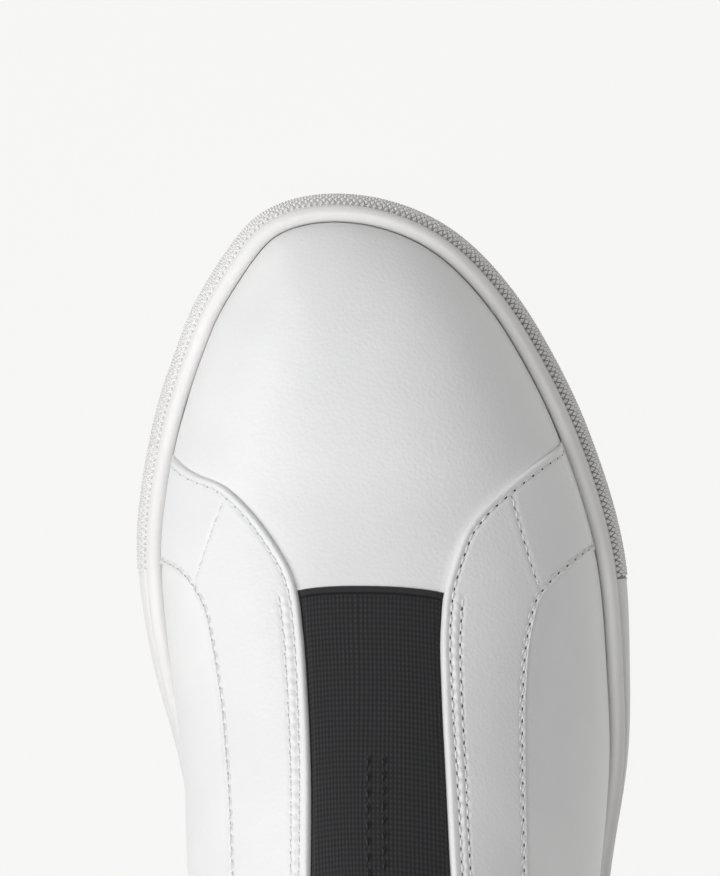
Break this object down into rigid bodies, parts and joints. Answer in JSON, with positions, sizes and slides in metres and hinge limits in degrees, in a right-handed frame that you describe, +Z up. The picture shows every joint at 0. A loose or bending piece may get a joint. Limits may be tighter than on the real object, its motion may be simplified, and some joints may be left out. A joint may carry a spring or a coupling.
{
  "type": "slip-on sneaker",
  "caption": "Low slip-on leather sneaker for the right foot: hollow upper with a wide elastic gore between two facings, on a rubber cup sole with a rounded rim and a textured toe band.",
  "frame": {"origin": "on the ground under the middle of the sole's length and width", "axes": "+Y forward to the toe, +X to the outer side of the right foot, +Z up"},
  "size_m": [0.1086, 0.2998, 0.1053],
  "materials": {
    "rubber": "satin",
    "leather": "satin",
    "elastic": "matte",
    "footbed": "matte"
  },
  "bodies": {
    "root": {"sole": "rubber", "upper": "leather", "facing_medial": "leather", "facing_lateral": "leather", "elastic_gore": "elastic", "insole": "footbed"}
  },
  "joints": []
}
